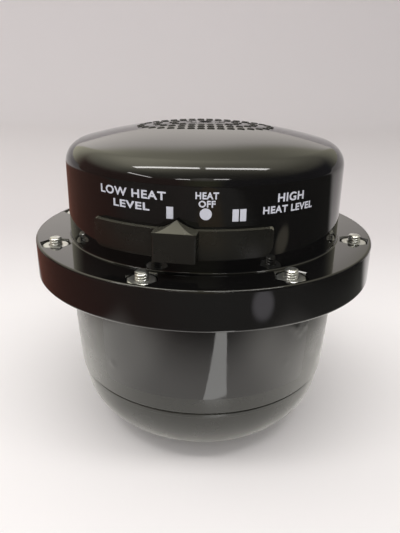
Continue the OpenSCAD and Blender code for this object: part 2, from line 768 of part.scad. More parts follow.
module coil_posts() {
    low = coil_low_z - 1.6;
    half = coil_r + coil_wire_d + post_wall;
    color("#e6e2d6") for (a = post_angles) around(a, coil_ring_r) difference() {
        translate([-post_w / 2, -half, low]) cube([post_w, 2 * half, plate_z - low]);
        translate([-post_w, 0, coil_z]) rotate([0, 90, 0]) cylinder(h = 2 * post_w, r = coil_r + coil_wire_d);
    }
}

module terminal_studs() {
    color("#c79a4b") for (a = stud_angles) around(a, coil_ring_r) {
        low = a == 0 ? coil_top_z : coil_low_z;
        translate([0, 0, low]) cylinder(h = plate_top_z + 9 - low, r = stud_r);
        translate([0, 0, plate_z - 3]) cylinder(h = 3, d = 9 / cos(30), $fn = 6);
    }
}

module terminal_nuts() {
    color("#c79a4b") for (a = stud_angles) around(a, coil_ring_r) translate([0, 0, plate_top_z]) difference() {
        cylinder(h = 3.2, d = 8 / cos(30), $fn = 6);
        translate([0, 0, -1]) cylinder(h = 6, r = stud_r + grip);
    }
}

// supply terminals
module terminal_block() {
    color("#e8e6df") difference() {
        translate([-block_x / 2, block_in, plate_top_z]) cube([block_x, block_y, block_h]);
        for (x = [-11, 0, 11]) {
            translate([x, block_in - 1, plate_top_z + 5]) rotate([-90, 0, 0]) cylinder(h = block_y + 2, d = 4.4);
            translate([x, block_in + block_y / 2, plate_top_z + 5]) cylinder(h = block_h, r = 1.75 + grip);
        }
    }
}

module block_screws() {
    top = plate_top_z + block_h;
    color("#c79a4b") for (x = [-11, 0, 11]) translate([x, block_in + block_y / 2, 0]) difference() {
        rotate_extrude() polygon([[0, plate_top_z + 6.4], [1.75, plate_top_z + 6.4], [1.75, top], [3, top],
            [3, top + 1.4], [2.2, top + 2], [0, top + 2]]);
        translate([-4, -0.4, top + 1]) cube([8, 0.8, 2]);
    }
}

module cable_grommet() {
    inner = sqrt(cover_in_r * cover_in_r - pow(grommet_d / 2 + 2, 2)) - seat;
    outer = cover_r + seat;
    color("#161616") rearward(cable_z) rotate_extrude() polygon([[cable_d / 2, inner - 2],
        [grommet_d / 2 + 2, inner - 2], [grommet_d / 2 + 2, inner], [grommet_d / 2 - seat, inner],
        [grommet_d / 2 - seat, outer], [grommet_d / 2 + 2, outer], [grommet_d / 2 + 1.4, outer + 2],
        [cable_d / 2, outer + 2]]);
}

// water inlet
module inlet_socket() {
    collar = boss_out + inlet_washer_t;
    color("#c79a4b") rearward(inlet_z) difference() {
        union() {
            translate([0, 0, sleeve_in]) cylinder(h = inlet_end - sleeve_in, d = sleeve_d);
            translate([0, 0, collar]) cylinder(h = 6, d = 28 / cos(30), $fn = 6);
        }
        translate([0, 0, sleeve_in - 1]) cylinder(h = 60, d = filter_d);
        translate([0, 0, inlet_end - inlet_depth]) cylinder(h = 60, d = inlet_d);
    }
}

module inlet_washer() {
    color("#2a2a2a") rearward(inlet_z) translate([0, 0, boss_out]) difference() {
        cylinder(h = inlet_washer_t, d = sleeve_d + 6);
        translate([0, 0, -1]) cylinder(h = 4, d = sleeve_d + 2 * seat);
    }
}

module inlet_locknut() {
    color("#c79a4b") rearward(inlet_z) translate([0, 0, boss_in - locknut_h]) difference() {
        cylinder(h = locknut_h, d = 30 / cos(30), $fn = 6);
        translate([0, 0, -1]) cylinder(h = locknut_h + 2, r = sleeve_d / 2 + grip);
    }
}

module inlet_filter() {
    top = inlet_end - inlet_depth - seat;
    color("#d9d9d2") rearward(inlet_z) difference() {
        translate([0, 0, top - 5]) cylinder(h = 5, d = filter_d - 2 * seat);
        translate([0, 0, top - 4]) cylinder(h = 5, d = filter_d - 2);
        for (i = [0 : 5]) rotate(60 * i) translate([3.6, 0, top - 6]) cylinder(h = 3, d = 2.4);
        translate([0, 0, top - 6]) cylinder(h = 3, d = 2.4);
    }
}

spray_cap();
spray_plate();
cap_seal();
lower_body();
upper_housing();
flange_screws();
flange_washers();
flange_nuts();
flange_gasket();
partition_plate();
diaphragm();
clamp_ring();
plunger();
return_spring();
contact_base();
base_screws();
contact_bridge();
bridge_nut();
fixed_contacts();
selector_lever();
selector_arm();
selector_screw();
selector_wiper();
selector_pads();
arm_clip();
heating_coil();
coil_posts();
terminal_studs();
terminal_nuts();
terminal_block();
block_screws();
cable_grommet();
inlet_socket();
inlet_washer();
inlet_locknut();
inlet_filter();
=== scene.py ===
"""Looks of an electric shower head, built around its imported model.

Laid out as an add-on and run as a script: main() makes the stage and every piece in order.
All lengths are in metres, the front is -Y and up is +Z.
"""

import json
import math

import bpy
from bpy.props import FloatProperty, FloatVectorProperty, IntProperty, PointerProperty
from mathutils import Matrix, Vector


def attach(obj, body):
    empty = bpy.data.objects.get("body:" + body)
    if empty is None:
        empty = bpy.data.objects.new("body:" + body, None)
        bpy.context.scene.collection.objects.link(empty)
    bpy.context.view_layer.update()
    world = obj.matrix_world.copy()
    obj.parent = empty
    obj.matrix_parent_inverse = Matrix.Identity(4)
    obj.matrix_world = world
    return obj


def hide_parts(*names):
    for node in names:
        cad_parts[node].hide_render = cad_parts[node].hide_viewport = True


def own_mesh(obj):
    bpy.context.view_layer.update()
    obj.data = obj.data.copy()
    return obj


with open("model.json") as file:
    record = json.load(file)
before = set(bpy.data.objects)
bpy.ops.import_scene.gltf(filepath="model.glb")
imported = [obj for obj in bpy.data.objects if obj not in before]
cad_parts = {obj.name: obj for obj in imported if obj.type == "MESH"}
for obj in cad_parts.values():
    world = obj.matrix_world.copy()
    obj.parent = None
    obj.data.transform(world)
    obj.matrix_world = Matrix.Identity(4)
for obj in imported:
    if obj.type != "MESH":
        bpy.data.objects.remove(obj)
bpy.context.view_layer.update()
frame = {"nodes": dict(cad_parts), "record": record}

bl_info = {
    "name": "Electric Shower Head",
    "version": (1, 0, 0),
    "blender": (4, 5, 0),
    "location": "View3D > Sidebar > Shower",
    "description": "Makes the visible pieces, finishes and stage of an electric shower head",
    "category": "Object",
}

MM = 0.001
MERGE = 2e-6  # points closer than this are one
GRAIN = 0.0001  # depth of a fine grain in a surface
NODES = frame["nodes"]
SCREW_ANGLES = (-66.35, -19.45, 27.45, 74.35, 118.21, 162.07, 205.93, 249.79)
LUG_ANGLES = (60, 180, 300)
FINISHES = {}


def length(name, description, default):
    return FloatProperty(name=name, description=description, default=default, unit="LENGTH", precision=5)


def angle(name, description, default):
    return FloatProperty(name=name, description=description, default=math.radians(default), subtype="ANGLE")


def colour(name, description, default):
    return FloatVectorProperty(
        name=name, description=description, default=default, subtype="COLOR", min=0, max=1)


class ShowerSizes(bpy.types.PropertyGroup):
    """Sizes of the visible pieces"""

    cover_radius: length("Cover radius", "Outer radius of the switch cover's side", 0.0641)
    cover_wall: length("Cover wall", "Thickness of the switch cover", 0.0028)
    shoulder: length("Shoulder", "Radius of the cover's shoulder", 0.0095)
    crown_radius: length("Crown radius", "Radius of the cover's crown", 0.216)
    crown_top: length("Crown top", "Height of the crown's middle", 0.1468)
    flange_radius: length("Flange radius", "Outer radius of the flange", 0.08)
    flange_low: length("Flange low", "Height of the band's lower edge", 0.0795)
    flange_under: length("Flange under", "Height of the upper flange's underside", 0.0895)
    flange_top: length("Flange top", "Height of the flange's upper face", 0.0965)
    band_wall: length("Band wall", "Thickness of the flange's band", 0.0027)
    edge_round: length("Edge round", "Radius of the flange's edges", 0.0009)
    foot_fillet: length("Foot fillet", "Radius where the cover meets the flange", 0.0008)
    screw_circle: length("Screw circle", "Radius that the flange screws stand on", 0.07205)
    pocket_corner: length("Pocket corner", "From the middle of a nut pocket to its corners", 0.006986)
    pocket_floor: length("Pocket floor", "Height of the nut pockets' floor", 0.0922)
    vent_width: length("Vent width", "Width of the oval field of vents", 0.06)
    vent_depth: length("Vent depth", "Depth of the oval field of vents", 0.037)
    body_radius: length("Body radius", "Outer radius of the water chamber under the flange", 0.0647)
    body_low_radius: length(
        "Body low radius", "Outer radius of the water chamber at the parting line", 0.0624)
    body_low: length("Body low", "Height of the water chamber's lower edge", 0.0308)
    body_top: length("Body top", "Height of the underside of the water chamber's flange", 0.0823)
    bowl_radius: length("Bowl radius", "Outer radius of the spray bowl", 0.0613)
    bowl_height: length("Bowl height", "Height of the spray bowl", 0.0302)
    foot_radius: length("Foot radius", "Radius of the bowl's flat foot", 0.0323)
    film_low: length("Film low", "Height of the label film's lower edge", 0.0386)
    film_left: angle("Film left", "Where the label film starts, from the front", -42.5)
    film_right: angle("Film right", "Where the label film ends, from the front", 45.5)
    turn_steps: IntProperty(name="Turn steps", description="Steps round a turned piece", default=240, min=96)


class ShowerColours(bpy.types.PropertyGroup):
    """Base colours of the finishes"""

    gloss: colour("Gloss black", "Polished cover and flange", (0.0045, 0.0043, 0.0042))
    satin: colour("Satin black", "Water chamber and spray bowl", (0.014, 0.0145, 0.0115))
    lever: colour("Lever", "Olive black of the selector", (0.008, 0.0077, 0.006))
    zinc: colour("Zinc", "Plated screws and nuts", (0.66, 0.67, 0.68))
    ink: colour("Ink", "White print", (0.47, 0.48, 0.54))
    rubber: colour("Rubber", "Seals and the cable sleeve", (0.02, 0.02, 0.02))
    brass: colour("Brass", "Turned brass", (0.62, 0.45, 0.17))
    copper: colour("Copper", "Bare copper", (0.62, 0.3, 0.16))
    resin: colour("Resin", "Brown moulding resin", (0.12, 0.05, 0.025))
    pale: colour("Pale plastic", "Insulating mouldings", (0.72, 0.7, 0.63))
    ceramic: colour("Ceramic", "Unglazed ceramic", (0.78, 0.76, 0.7))
    wire: colour("Heater wire", "Oxidised heater wire", (0.35, 0.33, 0.3))
    table: colour("Table", "Table and backdrop", (0.9, 0.87, 0.866))


# Modelling helpers

def only(obj):
    """Leaves obj alone selected and active, in object mode."""
    if bpy.context.object and bpy.context.object.mode != "OBJECT":
        bpy.ops.object.mode_set(mode="OBJECT")
    bpy.ops.object.select_all(action="DESELECT")
    obj.select_set(True)
    bpy.context.view_layer.objects.active = obj


def edit(obj):
    """Goes into edit mode with all of obj selected."""
    only(obj)
    bpy.ops.object.mode_set(mode="EDIT")
    bpy.ops.mesh.select_all(action="SELECT")


def done():
    bpy.ops.object.mode_set(mode="OBJECT")


def pick(obj, chosen):
    """Goes into edit mode with the chosen points, by index, and the edges between them selected."""
    edit(obj)
    bpy.ops.mesh.select_all(action="DESELECT")
    done()
    for i in chosen:
        obj.data.vertices[i].select = True
    for e in obj.data.edges:
        e.select = set(e.vertices) <= chosen
    bpy.ops.object.mode_set(mode="EDIT")


def named(name):
    obj = bpy.context.object
    obj.name = obj.data.name = name
    return obj


def fresh(add, name, **settings):
    """What the operator add makes, alone selected."""
    bpy.ops.object.select_all(action="DESELECT")
    add(**settings)
    return named(name)


def arc(r, z, radius, start, end, steps):
    """Points on an arc in the plane of radius and height, angles in degrees."""
    turns = [math.radians(start + (end - start) * i / steps) for i in range(steps + 1)]
    return [(r + radius * math.cos(t), z + radius * math.sin(t)) for t in turns]


def run(start, end, parts):
    """The points that divide a straight line, without its ends."""
    return [tuple(a + (b - a) * i / parts for a, b in zip(start, end)) for i in range(1, parts)]


def outline(name, points, closed=True):
    """A chain of (radius, height) points. One that isn't closed starts and ends on the axis."""
    obj = fresh(bpy.ops.mesh.primitive_circle_add, name, vertices=len(points), radius=0.01)
    for vertex, (r, z) in zip(obj.data.vertices, points):
        vertex.co = (r, 0, z)
    if not closed:
        pick(obj, {0, len(points) - 1})
        bpy.ops.mesh.delete(type="EDGE")
        done()
    return obj


def turned(name, points, steps, closed=True):
    """A solid spun once round the axis from its outline."""
    obj = outline(name, points, closed)
    edit(obj)
    bpy.ops.mesh.spin(steps=steps, angle=math.tau, center=(0, 0, 0), axis=(0, 0, 1))
    bpy.ops.mesh.select_all(action="SELECT")
    bpy.ops.mesh.remove_doubles(threshold=MERGE)
    bpy.ops.mesh.normals_make_consistent(inside=False)
    done()
    return obj


def disc(name, radius, low, high, steps):
    """A plain round solid on the axis, or a hexagonal one in six steps."""
    return turned(name, [(0, low), (radius, low), (radius, high), (0, high)], steps, closed=False)


def sector(name, middle, half, r0, r1, z0, z1):
    """A block swept round the axis, its middle at an angle from the front, in degrees."""
    obj = outline(name, [(r0, z0), (r1, z0), (r1, z1), (r0, z1)])
    edit(obj)
    bpy.ops.mesh.spin(
        steps=max(4, int(half)), angle=math.radians(-2 * half), center=(0, 0, 0), axis=(0, 0, 1))
    bpy.ops.mesh.select_all(action="SELECT")
    bpy.ops.mesh.fill_holes(sides=4)
    bpy.ops.mesh.normals_make_consistent(inside=False)
    done()
    obj.data.transform(Matrix.Rotation(math.radians(middle - half - 90), 4, "Z"))
    return obj


def lug_sectors(name, turn, *size):
    """One object with a sector at each bayonet lug, turned on by some degrees."""
    return joined(name, [sector(name, a + turn, *size) for a in LUG_ANGLES])


def block(name, size, z=0.0):
    """A box with its middle on the axis at height z."""
    obj = fresh(bpy.ops.mesh.primitive_cube_add, name, size=1)
    obj.data.transform(Matrix.Translation((0, 0, z)) @ Matrix.Diagonal((*size, 1)))
    return obj


def around(degrees, radius):
    """Where a piece stands at an angle from the front."""
    return Matrix.Rotation(math.radians(degrees), 4, "Z") @ Matrix.Translation((0, -radius, 0))


def screw_places(s):
    return [around(a, s.screw_circle) for a in SCREW_ANGLES]


def rearwards(y, z):
    """Lays a piece that stands on the axis down towards the rear, its foot at y and z."""
    return Matrix.Translation((0, y, z)) @ Matrix.Rotation(math.radians(-90), 4, "X")


def copies(obj, places):
    """One object with a copy of obj at each place."""
    made = []
    for place in places:
        new = obj.copy()
        new.data = obj.data.copy()
        new.data.transform(place)
        bpy.context.collection.objects.link(new)
        made.append(new)
    name = obj.name
    bpy.data.objects.remove(obj, do_unlink=True)
    return joined(name, made)


def joined(name, objs):
    only(objs[0])
    for o in objs:
        o.select_set(True)
    if len(objs) > 1:
        bpy.ops.object.join()
    return named(name)


def combine(obj, tool, operation):
    """Cuts tool from obj, or adds it, and removes tool."""
    only(obj)
    before = len(obj.data.polygons)
    mod = obj.modifiers.new("shape", "BOOLEAN")
    mod.operation, mod.object, mod.solver = operation, tool, "EXACT"
    bpy.ops.object.modifier_apply(modifier=mod.name)
    bpy.data.objects.remove(tool, do_unlink=True)
    if not obj.data.polygons or len(obj.data.polygons) == before:
        raise RuntimeError(f"{obj.name}: {operation.lower()} changed nothing")
    return obj


def soften(obj, width, segments=2, limit=35):
    """Rounds the edges that are sharper than a limit in degrees."""
    only(obj)
    mod = obj.modifiers.new("soft_edges", "BEVEL")
    mod.width, mod.segments, mod.limit_method = width, segments, "ANGLE"
    mod.angle_limit = math.radians(limit)
    mod.harden_normals = False
    bpy.ops.object.modifier_apply(modifier=mod.name)


def divide(axis, places):
    """Adds a line of points across the mesh in edit mode, at each place along an axis."""
    for place in places:
        bpy.ops.mesh.select_all(action="SELECT")
        bpy.ops.mesh.bisect(plane_co=Vector(axis) * place, plane_no=axis)


def thicken(obj, thickness):
    """Gives a sheet its thickness, inwards."""
    only(obj)
    mod = obj.modifiers.new("film", "SOLIDIFY")
    mod.thickness, mod.offset = thickness, -1
    bpy.ops.object.modifier_apply(modifier=mod.name)


def finished(obj, name, body, finish, slot, *nodes, smooth=30):
    """Shades a piece, gives it its finish and ties it to the frame."""
    only(obj)
    named(name)
    bpy.ops.object.shade_smooth_by_angle(angle=math.radians(smooth))
    obj.data.materials.clear()
    obj.data.materials.append(finish)
    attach(obj, body)
    if nodes:
        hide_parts(*nodes)


def merged_copy(node, name):
    """A copy of a CAD node with its loose triangles merged and its flat faces whole."""
    source = NODES[node]
    bpy.ops.object.select_all(action="DESELECT")
    mesh = source.data.copy()
    obj = bpy.data.objects.new(name, mesh)
    bpy.context.collection.objects.link(obj)
    only(obj)
    if mesh.has_custom_normals:
        bpy.ops.mesh.customdata_custom_splitnormals_clear()
    edit(obj)
    bpy.ops.mesh.remove_doubles(threshold=MERGE)
    bpy.ops.mesh.dissolve_limited(angle_limit=math.radians(0.4))
    done()
    return obj


def chamber_arc(s):
    """The arc of the water chamber's side: the radius where its middle stands, and its own."""
    sag = s.body_radius - s.body_low_radius
    big = ((s.body_top - s.body_low) ** 2 + sag * sag) / (2 * sag)
    return s.body_radius - big, big


# Finishes

class Nodes:
    """The nodes of a finish or of the world."""

    def __init__(self, tree):
        self.tree = tree

    def add(self, kind, **inputs):
        node = self.tree.nodes.new(kind)
        for key, value in inputs.items():
            node.inputs[key].default_value = value
        return node

    def link(self, out, into):
        self.tree.links.new(out, into)

    def feed(self, socket, value):
        """Links a socket into another, or sets that one to a plain value."""
        if isinstance(value, bpy.types.NodeSocket):
            self.link(value, socket)
        else:
            socket.default_value = value

    def ranged(self, value, low, high, to_low=0.0, to_high=1.0):
        """Goes softly from to_low at low to to_high at high."""
        node = self.add("ShaderNodeMapRange")
        node.interpolation_type = "SMOOTHSTEP"
        for key, v in zip(("From Min", "From Max", "To Min", "To Max"), (low, high, to_low, to_high)):
            node.inputs[key].default_value = v
        self.link(value, node.inputs["Value"])
        return node.outputs["Result"]

    def mixed(self, value, a, b):
        """A colour between a and b, either of them a colour or a socket."""
        node = self.add("ShaderNodeMix")
        node.data_type = "RGBA"
        self.link(value, node.inputs[0])
        for socket, c in ((node.inputs[6], a), (node.inputs[7], b)):
            self.feed(socket, c if isinstance(c, bpy.types.NodeSocket) else (*c, 1))
        return node.outputs[2]

    def maths(self, operation, a, b=0.0):
        node = self.add("ShaderNodeMath")
        node.operation = operation
        for socket, v in zip(node.inputs, (a, b)):
            self.feed(socket, v)
        return node.outputs[0]

    def product(self, first, *others):
        for other in others:
            first = self.maths("MULTIPLY", first, other)
        return first


class Finish(Nodes):
    """A procedural finish: one Principled shader and the textures that vary it."""

    def __init__(self, name, base, rough, metallic=0.0):
        self.material = FINISHES[name] = bpy.data.materials.new(name)
        self.material.use_nodes = True
        super().__init__(self.material.node_tree)
        self.colour = tuple(base)
        self.shader = self.tree.nodes["Principled BSDF"]
        self.shader.inputs["Base Color"].default_value = (*base, 1)
        self.shader.inputs["Roughness"].default_value = rough
        self.shader.inputs["Metallic"].default_value = metallic
        self.material.diffuse_color = (*base, 1)
        self.place = self.add("ShaderNodeTexCoord").outputs["Object"]
        self.height = None

    def stretched(self, scale):
        mapping = self.add("ShaderNodeMapping", Scale=scale)
        self.link(self.place, mapping.inputs["Vector"])
        return mapping.outputs["Vector"]

    def noise(self, scale, detail=3.0, rough=0.5, place=None):
        node = self.add("ShaderNodeTexNoise", Scale=scale, Detail=detail, Roughness=rough)
        self.link(place or self.place, node.inputs["Vector"])
        return node.outputs["Fac"]

    def specks(self, scale, size):
        """Small grains, 1 inside a grain and 0 outside."""
        node = self.add("ShaderNodeTexVoronoi", Scale=scale)
        self.link(self.place, node.inputs["Vector"])
        return self.ranged(node.outputs["Distance"], size, size * 0.5)

    def tones(self, texture, low, high):
        """The base colour, between low and high times its brightness."""
        return self.mixed(texture, shade(self.colour, low), shade(self.colour, high))

    def base(self, out):
        self.link(out, self.shader.inputs["Base Color"])

    def rough(self, noise, low, high):
        """Roughness from low to high over the middle part of a noise, where most of it lies."""
        self.link(self.ranged(noise, 0.3, 0.7, low, high), self.shader.inputs["Roughness"])

    def bump(self, out, strength, distance):
        node = self.add("ShaderNodeBump", Strength=strength, Distance=distance)
        self.link(out, node.inputs["Height"])
        if self.height is not None:
            self.link(self.height, node.inputs["Normal"])
        self.height = node.outputs["Normal"]
        self.link(self.height, self.shader.inputs["Normal"])


def shade(c, factor):
    return tuple(min(1.0, x * factor) for x in c)


def make_finishes(c):
    """Every finish of the shower, kept by name in FINISHES."""
    f = Finish("polished_black", c.gloss, 0.06)
    f.base(f.mixed(f.specks(700, 0.07), f.tones(f.noise(30), 0.8, 1.25), (0.05, 0.048, 0.043)))
    f.rough(f.noise(45, 4), 0.035, 0.085)
    f.bump(f.noise(55, 1), 0.025, MM)

    f = Finish("satin_black_body", c.satin, 0.45)
    f.base(f.mixed(f.specks(620, 0.09), f.tones(f.noise(26), 0.85, 1.2), (0.09, 0.09, 0.08)))
    f.rough(f.noise(70, 4), 0.26, 0.34)
    f.bump(f.noise(2600, 2), 0.06, GRAIN)

    f = Finish("olive_black_lever", c.lever, 0.28)
    # The lever is painted paler where its attribute edge is set: a painted highlight on the faces that point
    # up
    edge = f.add("ShaderNodeAttribute")
    edge.attribute_name = "edge"
    f.base(f.mixed(edge.outputs["Fac"], f.tones(f.noise(140, 4), 0.8, 1.25), shade(c.lever, 20)))
    f.rough(f.noise(120), 0.23, 0.28)
    f.bump(f.noise(1600, 2), 0.012, GRAIN)

    f = Finish("zinc_plate", c.zinc, 0.25, 1.0)
    f.base(f.mixed(f.noise(420), shade(c.zinc, 0.82), (0.72, 0.72, 0.69)))
    f.rough(f.noise(900, 4), 0.28, 0.42)
    f.bump(f.noise(2400), 0.06, GRAIN)

    f = Finish("white_print", c.ink, 0.5)
    f.base(f.tones(f.ranged(f.noise(1500), 0.55, 0.75, 0, 0.6), 1.0, 0.8))
    f.rough(f.noise(800, 2), 0.42, 0.58)

    f = Finish("clear_film", c.gloss, 0.07)
    f.base(f.tones(f.noise(40), 0.8, 1.3))
    f.rough(f.noise(120), 0.045, 0.09)
    f.bump(f.noise(70, 2), 0.05, MM)

    f = Finish("moulded_rubber", c.rubber, 0.65)
    f.base(f.tones(f.noise(160, 4), 0.8, 1.6))
    f.rough(f.noise(500), 0.55, 0.78)
    f.bump(f.noise(2800), 0.2, GRAIN)

    f = Finish("turned_brass", c.brass, 0.28, 1.0)
    f.base(f.tones(f.noise(130, 5), 0.72, 1.08))
    f.rough(f.noise(700, place=f.stretched((1, 6, 1))), 0.2, 0.4)
    f.bump(f.noise(900, 2, place=f.stretched((0.2, 6, 0.2))), 0.1, GRAIN)

    f = Finish("bare_copper", c.copper, 0.3, 1.0)
    f.base(f.tones(f.noise(180, 5), 0.65, 1.1))
    f.rough(f.noise(600), 0.22, 0.45)

    f = Finish("brown_phenolic", c.resin, 0.4)
    f.base(f.tones(f.noise(380, 6, 0.7), 0.6, 1.5))
    f.rough(f.noise(260), 0.32, 0.5)

    f = Finish("pale_insulation", c.pale, 0.45)
    f.base(f.tones(f.noise(120, 4), 0.9, 1.06))
    f.rough(f.noise(400), 0.38, 0.55)

    f = Finish("bare_ceramic", c.ceramic, 0.75)
    f.base(f.tones(f.specks(900, 0.2), 1.0, 0.75))
    f.bump(f.noise(1800, 4), 0.25, 2 * GRAIN)

    f = Finish("oxidised_wire", c.wire, 0.5, 1.0)
    f.base(f.mixed(f.noise(260, 4), shade(c.wire, 0.5), (0.42, 0.33, 0.27)))
    f.rough(f.noise(900), 0.4, 0.65)


SLOT_FINISH = {
    "black_gloss": "polished_black", "black_satin": "olive_black_lever", "seal_rubber": "moulded_rubber",
    "zinc_steel": "zinc_plate", "brown_resin": "brown_phenolic", "pale_plastic": "pale_insulation",
    "white_ceramic": "bare_ceramic", "copper": "bare_copper", "brass": "turned_brass",
    "heater_wire": "oxidised_wire",
}


# Operators

class SHOWER_OT_stage(bpy.types.Operator):
    """Camera, table, backdrop, lamps and world"""

    bl_idname = "shower.make_stage"
    bl_label = "Stage"

    def execute(self, context):
        make_finishes(context.scene.shower_colours)
        self.camera(context)
        self.table(context)
        self.lamps(context)
        self.card()
        self.world(context)
        context.scene.view_settings.view_transform = "Standard"
        return {"FINISHED"}

    def camera(self, context):
        """The camera fitted to the photo, from its focal length and height in pixels."""
        sensor, focal, picture = 36, 536.89, 533
        distance, height = 0.2556, 0.1742
        side, turn, tilt, roll = (math.radians(d) for d in (-0.8, 0.333, 90 - 21.225, 0.91))
        data = bpy.data.cameras.new("photo_camera")
        data.sensor_width, data.lens = sensor, sensor * focal / picture
        data.clip_start, data.clip_end = 0.01, 50
        cam = bpy.data.objects.new("photo_camera", data)
        context.scene.collection.objects.link(cam)
        cam.matrix_world = (
            Matrix.Translation((distance * math.sin(side), -distance * math.cos(side), height))
            @ Matrix.Rotation(side + turn, 4, "Z")
            @ Matrix.Rotation(tilt, 4, "X")
            @ Matrix.Rotation(roll, 4, "Z")
        )
        context.scene.camera = cam

    def table(self, context):
        """A table that curves up into the backdrop at its rear edge."""
        width, depth, middle, rear = 6, 4.6, -0.7, 1
        rise, curve = 0.47, 0.45
        table = fresh(bpy.ops.mesh.primitive_plane_add, "table", size=1)
        table.data.transform(Matrix.Translation((0, middle, 0)) @ Matrix.Diagonal((width, depth, 1, 1)))
        pick(table, {v.index for v in table.data.vertices if v.co.y > rear})
        bpy.ops.mesh.extrude_region_move(TRANSFORM_OT_translate={"value": (0, 0, rise)})
        done()
        pick(table, {v.index for v in table.data.vertices if v.co.y > rear and v.co.z < rise / 2})
        bpy.ops.mesh.bevel(offset=curve, segments=16, affect="EDGES")
        bpy.ops.mesh.select_all(action="SELECT")
        done()
        table.data.materials.append(self.table_finish(context.scene.shower_colours.table))
        only(table)
        bpy.ops.object.shade_smooth_by_angle(angle=math.radians(30))

    def table_finish(self, c):
        """Pale paper, which gives way to the darker things of a room in reflections."""
        shaded_far_paper, wooden, warm = (0.735, 0.695, 0.7), (0.15, 0.045, 0.03), (0.22, 0.16, 0.09)
        dark, grey = (0.01, 0.01, 0.011), (0.1, 0.1, 0.095)
        patches = (  # place, reach, colour
            ((0.144, -0.229), (0.032, 0.03), (0.95, 0.92, 1.0)),
            ((0.335, -0.195), (0.06, 0.035), (0.5, 0.46, 0.36)),
        )
        f = Finish("pale_table", c, 0.6)
        f.shader.inputs["Specular IOR Level"].default_value = 0.2
        axes = f.add("ShaderNodeSeparateXYZ")
        f.link(f.place, axes.inputs[0])
        x, y = axes.outputs["X"], axes.outputs["Y"]
        # Towards the back the paper is painted darker, as painted shade on the far backdrop, and a little
        # pinker
        paper = f.mixed(f.ranged(y, 0.06, 0.34), f.tones(f.noise(3), 0.985, 1.01), shaded_far_paper)

        # Where the paper itself is mirrored: near the shower, and far behind it
        left = f.ranged(x, -0.2, -0.15)
        deep = f.maths("MAXIMUM", f.maths("SUBTRACT", y, 0.1))
        lean = f.maths("SUBTRACT", x, f.product(deep, 1.4))
        right = f.ranged(f.maths("DIVIDE", lean, f.maths("ADD", deep, 0.2)), 1.1, 0.5)
        near = f.product(left, right, f.ranged(y, -0.2, -0.1))
        lit = f.maths("MAXIMUM", near, f.ranged(y, 0.6, 0.9))

        # What is mirrored elsewhere
        wood = f.product(f.ranged(x, 0.05, -0.2), f.ranged(y, -0.3, -0.08, 0.2, 1))
        aside = f.maths("ABSOLUTE", f.maths("SUBTRACT", x, 0.03))
        middle = f.product(f.ranged(aside, 0.1, 0.04), f.ranged(y, -0.3, -0.4))
        room = f.mixed(middle, f.mixed(f.ranged(x, 0.32, 0.2), dark, grey), warm)
        for place, reach, tint in patches:
            far = [f.maths("DIVIDE", f.maths("SUBTRACT", axis, at), size)
                   for axis, at, size in zip((x, y), place, reach)]
            far = f.maths("ADD", *(f.product(d, d) for d in far))
            room = f.mixed(f.ranged(far, 1.3, 0.3), room, tint)
        mirrored = f.mixed(lit, f.mixed(wood, room, wooden), paper)
        # Only glossy rays see this room, painted on the table in place of its paper: painted reflections, its
        # pale patches among them
        glossy = f.add("ShaderNodeLightPath").outputs["Is Glossy Ray"]
        f.base(f.mixed(glossy, paper, mirrored))

        # The paper close to the foot glows for glossy rays only, so it is mirrored brighter: a painted
        # reflection
        beside = f.product(f.ranged(f.maths("ABSOLUTE", x), 0.05, 0.1, 0, 0.5), f.ranged(y, 0.05, -0.02))
        glow = f.product(f.maths("ADD", beside, 0.6), f.product(near, f.ranged(y, 0.15, 0.05)))
        f.link(f.product(glow, glossy), f.shader.inputs["Emission Strength"])
        f.shader.inputs["Emission Color"].default_value = (1, 0.97, 0.88, 1)
        f.bump(f.noise(900, 2), 0.02, 2 * GRAIN)
        return f.material

    def lamps(self, context):
        """Ceiling tubes, which show only in gloss, and soft panels, which show only in matt light."""
        ceiling, tube_width = 1.63, 0.2
        tubes = (  # name, x, y, length, turn in degrees, power
            ("tube_left", -0.66, -0.24, 1.18, 0, 10.0),
            ("tube_right", 0.52, -0.26, 1.02, 0, 8.6),
            ("tube_far_left", -0.95, -2.9, 0.65, 0, 6.4),
            ("tube_far_right", 0.62, -2.6, 0.6, 0, 6.0),
            ("tube_side", -2.45, -1.8, 1.5, 90, 11.5),
        )
        for name, x, y, size, turn, power in tubes:
            place = Matrix.Translation((x, y, ceiling)) @ Matrix.Rotation(math.radians(turn), 4, "Z")
            self.lamp(context, name, (size, tube_width), power, place).visible_diffuse = False
        softs = (  # name, place, size, power
            ("soft_left", (-1.5, 0.55, 0.95), (1.2, 1.2), 6.0),
            ("soft_front", (0.0, -0.4, 1.3), (1.6, 0.22), 9.6),
            ("soft_low", (0.0, -1.05, 0.36), (0.9, 0.3), 3.6),
        )
        for name, place, size, power in softs:
            aim = (-Vector(place)).to_track_quat("-Z", "Y").to_matrix().to_4x4()
            self.lamp(context, name, size, power, Matrix.Translation(place) @ aim).visible_glossy = False

    def lamp(self, context, name, size, power, place):
        data = bpy.data.lights.new(name, "AREA")
        data.shape, data.size, data.size_y, data.energy = "RECTANGLE", *size, power
        data.color = (1.0, 0.985, 0.97)
        lamp = bpy.data.objects.new(name, data)
        lamp.matrix_world = place
        context.scene.collection.objects.link(lamp)
        return lamp

